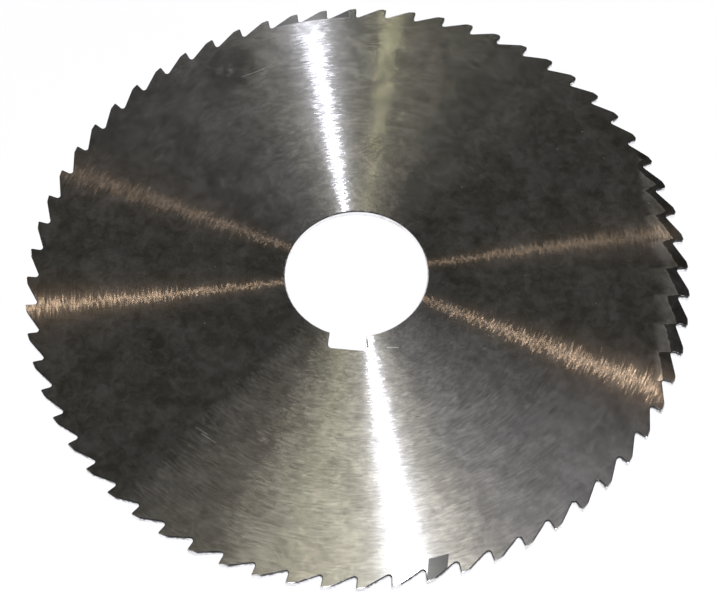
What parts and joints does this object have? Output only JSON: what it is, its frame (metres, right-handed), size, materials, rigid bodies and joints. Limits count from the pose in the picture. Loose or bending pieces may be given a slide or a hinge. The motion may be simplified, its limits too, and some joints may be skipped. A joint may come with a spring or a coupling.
{
  "type": "slitting saw",
  "caption": "Thin circular slitting saw of ground tool steel, with ratchet teeth around its rim, hollow-ground sides and a keyed bore for a milling arbor.",
  "frame": {"origin": "on the bore axis, in the plane of the lower sides of the teeth, on which the saw lies", "axes": "+Z along the bore, out of the upper side; -Y from the bore axis to the keyway; +X completes the right-handed frame"},
  "size_m": [0.125, 0.125, 0.0016],
  "materials": {
    "ground_steel": "circularly ground tool steel with smoky stains, fine scratches and worn tooth tips"
  },
  "bodies": {
    "root": {"saw_blade": "ground_steel"}
  },
  "joints": []
}
